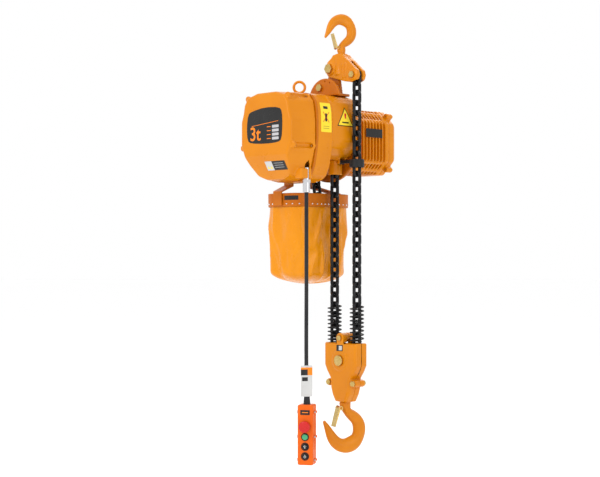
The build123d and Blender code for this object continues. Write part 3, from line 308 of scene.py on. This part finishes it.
# for each cast or forged node: the size of the grid it is remade on in millimetres, and the smoothing rounds
CASTINGS = {
    "control_cover": (2.2, 7), "gear_case": (2.4, 4), "sheave_case": (2.4, 4),
    "motor_end_cap": (2.2, 5), "motor_frame": (1.8, 2), "motor_flange": (2.4, 2),
    "chain_guide": (1.5, 4), "suspension_bracket": (1.5, 3), "upper_block_front": (1.3, 6),
    "upper_block_rear": (1.3, 6), "block_front": (1.5, 6), "block_rear": (1.5, 6),
    "top_hook": (1.3, 3), "bottom_hook": (1.6, 3), "limit_lever": (1.2, 4), "eye_bolt": (1.0, 3),
    "top_latch": (0.7, 2), "bottom_latch": (0.8, 2), "pendant_front": (0.8, 3), "pendant_rear": (0.8, 3),
}


def make_castings():
    return {node: soften(node, *how) for node, how in CASTINGS.items()}


# ---------------------------------------------------------------- labels
def patch(name, points, origin, across, up, target, lift, material, slot, body, thick=0.15):
    """A thin sheet with a flat outline, laid on the surface of target. Sizes in millimetres."""
    origin, across, up = Vector(origin), Vector(across).normalized(), Vector(up).normalized()
    out = across.cross(up)
    work = bmesh.new()
    corners = [work.verts.new(origin + (across * x + up * y) * MM) for x, y in points]
    work.faces.new(corners)
    bmesh.ops.triangulate(work, faces=work.faces[:])
    for _ in range(4):
        long_edges = [e for e in work.edges if e.calc_length() > 6 * MM]
        if long_edges:
            bmesh.ops.subdivide_edges(work, edges=long_edges, cuts=1)
            bmesh.ops.triangulate(work, faces=work.faces[:])
    if target:
        graph = bpy.context.evaluated_depsgraph_get()
        tree = BVHTree.FromObject(target, graph)
        for vert in work.verts:
            hit = tree.ray_cast(vert.co + out * 0.06, -out)[0]
            if hit:
                vert.co = hit + out * lift * MM
    piece = piece_from(name, work)
    solid = piece.modifiers.new("thickness", "SOLIDIFY")
    solid.thickness = thick * MM
    apply_modifiers(piece)
    return finish(piece, slot, body, material)


def rectangle(x0, y0, x1, y1, corner=0.0):
    if not corner:
        return [(x0, y0), (x1, y0), (x1, y1), (x0, y1)]
    points = []
    for cx, cy, start in ((x1 - corner, y0 + corner, -90), (x1 - corner, y1 - corner, 0),
                          (x0 + corner, y1 - corner, 90), (x0 + corner, y0 + corner, 180)):
        for step in range(7):
            turn = math.radians(start + 15 * step)
            points.append((cx + corner * math.cos(turn), cy + corner * math.sin(turn)))
    return points


def bar(x0, y0, x1, y1, width):
    """A straight stroke between two points."""
    run = Vector((x1 - x0, y1 - y0))
    side = Vector((-run.y, run.x)).normalized() * width / 2
    return [
        (x0 - side.x, y0 - side.y),
        (x1 - side.x, y1 - side.y),
        (x1 + side.x, y1 + side.y),
        (x0 + side.x, y0 + side.y),
    ]


def digit_piece(text, size, origin, across, up, lift):
    """The load rating, as a raised generic figure."""
    curve = bpy.data.curves.new("rating", "FONT")
    curve.body = text
    curve.size = size * MM
    curve.extrude = 0.3 * MM
    curve.offset = 0.6 * MM
    made = bpy.data.objects.new("rating_source", curve)
    scene.collection.objects.link(made)
    bpy.context.view_layer.update()
    mesh = bpy.data.meshes.new_from_object(made.evaluated_get(bpy.context.evaluated_depsgraph_get()))
    bpy.data.objects.remove(made)
    across, up = Vector(across), Vector(up)
    out = across.cross(up)
    for vert in mesh.vertices:
        x, y, z = vert.co
        vert.co = Vector(origin) + across * x + up * y + out * (z + lift * MM)
    return finish(new_piece("rating", mesh), "orange_paint", "hoist", "label_orange")


def make_nameplate(target):
    """The dark plate on the cover's face. It faces -X, so its outline runs towards -Y."""
    face_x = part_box("control_cover")[0].x
    middle_y = 0.072
    plate = dict(
        origin=(face_x, middle_y, -0.315), across=(0, -1, 0), up=(0, 0, 1), target=target, body="hoist",
    )
    barrel = [
        (-76, -38), (-60, -46), (0, -50), (56, -48), (70, -40), (74, 0),
        (72, 40), (60, 53), (0, 57), (-58, 48), (-74, 40), (-80, 0),
    ]
    rounded = []
    for here, ahead in zip(barrel, barrel[1:] + barrel[:1]):
        rounded.append((0.75 * here[0] + 0.25 * ahead[0], 0.75 * here[1] + 0.25 * ahead[1]))
        rounded.append((0.25 * here[0] + 0.75 * ahead[0], 0.25 * here[1] + 0.75 * ahead[1]))
    patch("nameplate", rounded, lift=0.3, material="label_black", slot="black_plastic", **plate)
    line = bar(-58, 4, 56, 14, 1.4)
    patch("nameplate_line", line, lift=0.5, material="label_orange", slot="orange_paint", **plate)
    for n in range(4):
        y = 3 - 11.5 * n
        field = rectangle(30, y - 8, 58, y, 2)
        key = rectangle(8, y - 5, 24, y - 3)
        patch(f"nameplate_field_{n}", field, lift=0.5, material="label_grey", slot="black_plastic", **plate)
        patch(f"nameplate_key_{n}", key, lift=0.5, material="label_orange", slot="orange_paint", **plate)
    digit_piece("3t", 56, (face_x - 0.0003, middle_y + 0.066, -0.353), (0, -1, 0), (0, 0, 1), 0)


def make_labels(casts):
    make_nameplate(casts["control_cover"])
    hoist = dict(body="hoist", slot="black_plastic")

    # yellow notice and triangle on the -Y side
    side = dict(across=(1, 0, 0), up=(0, 0, 1), **hoist)
    notice = dict(origin=(-0.1105, -0.05, -0.287), target=casts["gear_case"], **side)
    patch("notice", rectangle(-21, -43, 21, 43, 2), lift=0.3, material="label_yellow", **notice)
    for n, line in enumerate((bar(-12, -14, 12, 16, 2), bar(-12, 16, 12, -14, 2))):
        patch(f"notice_cross_{n}", line, lift=0.5, material="label_red", **notice)
    patch("notice_head", rectangle(-9, 25, 9, 33, 1), lift=0.5, material="label_black", **notice)
    patch("notice_mark", rectangle(-4, -12, 4, 12, 3), lift=0.5, material="label_black", **notice)
    for n in range(2):
        line = bar(-12, -26 - 6 * n, 12, -26 - 6 * n, 1)
        patch(f"notice_line_{n}", line, lift=0.5, material="label_black", **notice)
    warning = dict(origin=(-0.03, -0.05, -0.282), target=casts["sheave_case"], **side)
    stroke = [(-2.6, -3), (2.6, -3), (4, 12), (-4, 12)]
    patch("triangle_edge", [(-34, -26), (34, -26), (0, 31)], lift=0.3, material="label_black", **warning)
    patch("triangle", [(-29.5, -23.5), (29.5, -23.5), (0, 26)], lift=0.5, material="label_yellow", **warning)
    patch("triangle_mark", stroke, lift=0.7, material="label_red", **warning)
    patch("triangle_line", bar(-14, -15, 14, -15, 4), lift=0.7, material="label_black", **warning)

    # dark plate on the motor's side, flat and so not laid on anything
    plate_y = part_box("motor_frame")[0].y
    motor = dict(origin=(0.118, plate_y - 0.0004, -0.318), target=None, lift=0, thick=0.6, **side)
    patch("motor_plate", rectangle(-36, -13, 36, 13, 1), material="label_black", **motor)

    # sticker on the sloping chin
    slope = Vector((0.51, 0, -0.86)).normalized()
    chin = dict(
        origin=(-0.226, 0.04, -0.428), across=(0, -1, 0), up=tuple(-slope), target=casts["control_cover"],
        **hoist,
    )
    patch("chin_label", rectangle(-46, -15, 38, 15, 1), lift=0.3, material="label_black", **chin)
    patch("chin_white", rectangle(-46, -15, -17, 15, 1), lift=0.5, material="label_white", **chin)
    for n, x in enumerate((-42, -30)):
        sign = [(x, -9), (x + 9, -9), (x + 4.5, 0)]
        patch(f"chin_sign_{n}", sign, lift=0.7, material="label_yellow", **chin)
    for n in range(3):
        line = bar(-10, 8 - 7 * n, 28, 8 - 7 * n, 1.2)
        patch(f"chin_line_{n}", line, lift=0.5, material="label_grey", **chin)

    # small label on the hook block
    block_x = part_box("block_front")[0].x
    block = dict(
        origin=(block_x, -0.0175, -0.966), across=(0, -1, 0), up=(0, 0, 1), target=casts["block_front"],
        body="hook_block", slot="black_plastic",
    )
    patch("block_label", rectangle(-13, -9, 13, 9, 1), lift=0.3, material="label_black", **block)
    patch("block_label_field", rectangle(-3, -6.5, 10, 6.5, 0.8), lift=0.5, material="label_white", **block)


# ---------------------------------------------------------------- chain bag
BAG_AROUND, BAG_DOWN = 220, 96
FLOOR_FROM, FLOOR_ROWS = 0.80, 0.20     # the part of the rows where the floor begins, and how much it takes
PLEAT_TURN = math.radians(-62)
RIVETS = 38


def bag_radius(turn, half_x, half_y):
    """Distance from the bag's middle to its side, for a plan with wide round corners."""
    power = 3.6
    c, s = abs(math.cos(turn)), abs(math.sin(turn))
    return ((c / half_x) ** power + (s / half_y) ** power) ** (-1 / power)


def crease(x, y, z):
    """Sharp-edged wrinkles: 1 along a ridge, and less away from it."""
    return 1 - abs(noise.noise(Vector((x, y, z)))) * 2.2


def make_bag():
    low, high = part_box("chain_bag")
    middle = (low + high) / 2
    half_x, half_y = (high.x - low.x) / 2, (high.y - low.y) / 2
    height = high.z - low.z
    rows = []
    work = bmesh.new()
    for j in range(BAG_DOWN + 1):
        t = j / BAG_DOWN
        row = []
        for i in range(BAG_AROUND):
            turn = 2 * math.pi * i / BAG_AROUND
            radius = bag_radius(turn, half_x, half_y)
            # the floor curls under over the last fifth of the rows
            curl = max(0.0, (t - FLOOR_FROM) / FLOOR_ROWS)
            drop = height * min(1.0, t / FLOOR_FROM) * 0.86 + height * 0.13 * math.sin(curl * math.pi / 2)
            shrink = 1 - 0.02 * t if not curl else 0.98 * math.cos(curl * math.pi / 2 * 0.985)
            lean = math.cos(turn) * half_x / 0.03
            loose = min(1.0, t * 3.2) * (1 - 0.6 * curl)
            ridge = crease(math.cos(turn) * 2.1 + t * 1.2, math.sin(turn) * 2.1, t * 1.7)
            fold = crease(math.cos(turn) * 4 + 4, math.sin(turn) * 4, t * 3.6 + lean * 0.1)
            wave = noise.noise(Vector((math.cos(turn) * 1.7, math.sin(turn) * 1.7, t * 1.5 + 7)))
            push = (0.0075 * (ridge - 0.6) + 0.0024 * (fold - 0.6) + 0.012 * wave) * loose - 0.0040
            # a pressed pleat runs down the side that faces the chain
            away = abs(math.remainder(turn - PLEAT_TURN, 2 * math.pi))
            push -= 0.009 * max(0.0, 1 - away / 0.05) * (1 - 0.4 * t)
            push += 0.003 * max(0.0, 1 - abs(away - 0.10) / 0.05) * loose
            distance = (radius + push) * shrink
            x = middle.x + distance * math.cos(turn)
            y = middle.y + distance * math.sin(turn)
            sag = 0.006 * noise.noise(Vector((math.cos(turn) * 2, math.sin(turn) * 2, 3))) * curl
            row.append(work.verts.new((x, y, high.z - drop + sag)))
        rows.append(row)
    for j in range(BAG_DOWN):
        for i in range(BAG_AROUND):
            k = (i + 1) % BAG_AROUND
            work.faces.new((rows[j][i], rows[j + 1][i], rows[j + 1][k], rows[j][k]))
    work.faces.new(list(reversed(rows[-1])))
    bmesh.ops.recalc_face_normals(work, faces=work.faces[:])
    bag = piece_from("bag", work)
    solid = bag.modifiers.new("thickness", "SOLIDIFY")
    solid.thickness = 1.4 * MM
    solid.offset = -1
    apply_modifiers(bag)
    smooth_shade(bag.data)
    finish(bag, "bag_fabric", "hoist")
    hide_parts("chain_bag")
    make_rim(middle, half_x, half_y)


def make_rim(middle, half_x, half_y):
    low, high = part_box("bag_rim")
    work = bmesh.new()
    rows = []
    levels = [
        (low.z, 0.6), (low.z + 0.0015, 2.6), (low.z + 0.012, 2.9), (low.z + 0.024, 3.0),
        (high.z - 0.004, 3.2), (high.z - 0.0015, 3.4), (high.z, 2.2), (high.z - 0.0006, 0.4),
    ]
    for z, out in levels:          # out is in millimetres
        row = []
        for i in range(BAG_AROUND):
            turn = 2 * math.pi * i / BAG_AROUND
            slack = 0.0012 * noise.noise(Vector((math.cos(turn) * 4, math.sin(turn) * 4, z * 20)))
            radius = bag_radius(turn, half_x, half_y) + out * MM + slack - 0.0008
            x = middle.x + radius * math.cos(turn)
            y = middle.y + radius * math.sin(turn)
            row.append(work.verts.new((x, y, z)))
        rows.append(row)
    for lower, upper in zip(rows, rows[1:] + rows[:1]):
        for i in range(BAG_AROUND):
            k = (i + 1) % BAG_AROUND
            work.faces.new((lower[i], lower[k], upper[k], upper[i]))
    bmesh.ops.recalc_face_normals(work, faces=work.faces[:])
    # rivets along the lower edge
    for n in range(RIVETS):
        turn = 2 * math.pi * (n + 0.5) / RIVETS
        radius = bag_radius(turn, half_x, half_y) + 0.0018
        x = middle.x + radius * math.cos(turn)
        y = middle.y + radius * math.sin(turn)
        place = Vector((x, y, low.z + 0.009))
        rivet = bmesh.ops.create_uvsphere(work, u_segments=12, v_segments=8, radius=0.0026)
        for vert in rivet["verts"]:
            vert.co = vert.co + place
            for face in vert.link_faces:
                face.material_index = 1
    rim = piece_from("rim", work)
    rim.data.materials.append(MATERIALS["rim_fabric"])
    rim.data.materials.append(MATERIALS["chrome"])
    smooth_shade(rim.data)
    finish(rim, "rim_fabric", "hoist")
    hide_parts("bag_rim")
    patch(
        "rim_label", rectangle(-28, -6, 14, 7, 1), (-0.1135, 0.0891, low.z + 0.026), RIGHT, (0, 0, 1),
        target=rim, lift=0.4, material="label_black", slot="black_plastic", body="hoist", thick=0.5,
    )


# ---------------------------------------------------------------- cable and pendant
CABLE_POINTS = [
    (-0.165, -0.0185, -0.496), (-0.1648, -0.0185, -0.60), (-0.1655, -0.0192, -0.80),
    (-0.1672, -0.0198, -1.00), (-0.163, -0.0185, -1.08), (-0.163, -0.0185, -1.123),
]
CABLE_DIAMETER = 0.0115


def make_cable():
    curve = bpy.data.curves.new("cable", "CURVE")
    curve.dimensions = "3D"
    spline = curve.splines.new("NURBS")
    spline.points.add(len(CABLE_POINTS) - 1)
    for point, place in zip(spline.points, CABLE_POINTS):
        point.co = (*place, 1)
    spline.order_u = 3
    spline.use_endpoint_u = True
    spline.resolution_u = 12
    curve.bevel_depth = CABLE_DIAMETER / 2
    curve.bevel_resolution = 6
    curve.use_fill_caps = True
    cable = bpy.data.objects.new("cable", curve)
    scene.collection.objects.link(cable)
    finish(cable, "cable_rubber", "pendant")
    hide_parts("pendant_cable")
    tag = make_tag()


def make_tag():
    """A curled card tag tied round the cable by a narrow band."""
    front = Vector((-0.62, -0.78, 0)).normalized()
    across = Vector((-front.y, front.x, 0))
    if across.dot(RIGHT) < 0:
        across = -across
    low, high = -1.100, -1.010
    middle = Vector((-0.166, -0.0195, 0)) + front * 0.0075
    work = bmesh.new()
    columns, levels = 10, 16
    grid = []
    for j in range(levels + 1):
        z = low + (high - low) * j / levels
        row = []
        for i in range(columns + 1):
            x = (i / columns - 0.5) * 0.034
            curl = 0.002 * math.cos(i / columns * math.pi) + 0.0018 * math.sin(j / levels * 5)
            row.append(work.verts.new(middle + across * x + front * curl + Vector((0, 0, z))))
        grid.append(row)
    for j in range(levels):
        for i in range(columns):
            face = work.faces.new((grid[j][i], grid[j][i + 1], grid[j + 1][i + 1], grid[j + 1][i]))
            if 11 <= j < 14:
                face.material_index = 1 if i < 6 else 2
            elif 8 <= j < 10 and 1 <= i < 6:
                face.material_index = 1
            elif j == 14:
                face.material_index = 2
    loop = bmesh.ops.create_circle(work, segments=20, radius=0.0075)
    for vert in loop["verts"]:
        vert.co = Vector((vert.co.x - 0.166, vert.co.y - 0.0195, high - 0.004))
    ring = bmesh.ops.extrude_edge_only(work, edges=[e for e in work.edges if not e.link_faces])
    for item in ring["geom"]:
        if isinstance(item, bmesh.types.BMVert):
            item.co.z += 0.004
    tag = piece_from("tag", work)
    for name in ("label_white", "label_black", "label_orange"):
        tag.data.materials.append(MATERIALS[name])
    solid = tag.modifiers.new("thickness", "SOLIDIFY")
    solid.thickness = 0.5 * MM
    apply_modifiers(tag)
    return finish(tag, "black_plastic", "pendant", "label_white")


def reach_along(piece, way):
    """How far a piece reaches along a direction."""
    return max(v.co.dot(way) for v in piece.data.vertices)


def make_arrow(body, sign, front, across):
    """A white arrow on the up or down button: sign is 1 for up and -1 for down."""
    button = body + "_button"
    low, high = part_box(button)
    centre = (low + high) / 2
    centre += front * (reach_along(NODES[button], front) - centre.dot(front))
    head = [(-5 * sign, 0), (5 * sign, 0), (0, 6 * sign)]
    foot = min(0, -5 * sign)
    stem = rectangle(-1.8, foot, 1.8, foot + 5)
    for name, points in (("_arrow", head), ("_arrow_stem", stem)):
        patch(
            body + name, points, centre, across, (0, 0, 1), target=None, lift=0, material="label_white",
            slot="black_plastic", body=body, thick=0.3,
        )


def make_collar(node, radius, rise, centre, front, across):
    """A raised ring round a button, in millimetres about its centre."""
    turns = [math.radians(a) for a in range(0, 360, RING_STEP)]
    outline = [(radius * math.cos(turn), radius * math.sin(turn)) for turn in turns]
    profile = ((0.0, -1.0), (0.0, 0.9 * rise), (-0.8, 1.4 * rise), (-2.0, 1.4 * rise), (-2.0, -1.0))
    work = bmesh.new()
    rings = []
    for grow, height in profile:
        k = (radius + grow) / radius
        ring = []
        for x, y in outline:
            offset = across * x * k + Vector((0, 0, y * k)) + front * height
            ring.append(work.verts.new(centre + offset * MM))
        rings.append(ring)
    for lower, upper in zip(rings, rings[1:] + rings[:1]):
        for i in range(len(outline)):
            j = (i + 1) % len(outline)
            work.faces.new((lower[i], lower[j], upper[j], upper[i]))
    bmesh.ops.recalc_face_normals(work, faces=work.faces[:])
    finish(piece_from(node + "_collar", work), "black_plastic", "pendant")


def make_pendant_marks(casts):
    front = Vector((-0.848, -0.53, 0)).normalized()
    across = Vector((0.53, -0.848, 0)).normalized()
    make_arrow("up", 1, front, across)
    make_arrow("down", -1, front, across)
    shell = casts["pendant_front"]
    reach = reach_along(shell, front)
    side = sum(v.co.dot(across) for v in shell.data.vertices) / len(shell.data.vertices)
    face = front * reach + across * side
    centre = face + Vector((0, 0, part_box("pendant_front")[1].z - 0.022))
    label = dict(origin=centre, across=across, up=(0, 0, 1), target=shell, body="pendant")
    patch("pendant_label", rectangle(-14, -7, 14, 7, 1), lift=0.4, material="label_black",
          slot="black_plastic", **label)
    patch("pendant_label_line", bar(-9, 0, 9, 0, 2.5), lift=0.8, material="label_orange",
          slot="pendant_orange", **label)
    # the emergency stop's collar is low enough to stay under its cap when it is pressed
    collars = (
        ("estop_button", 14.2, 0.25),
        ("start_button", 11.6, 1),
        ("up_button", 12, 1),
        ("down_button", 12, 1),
    )
    for node, radius, rise in collars:
        low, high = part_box(node)
        make_collar(node, radius, rise, face + Vector((0, 0, (low.z + high.z) / 2)), front, across)


make_camera()
make_stage()
dress_cad()
casts = make_castings()
make_cable()
make_labels(casts)
make_bag()
make_pendant_marks(casts)
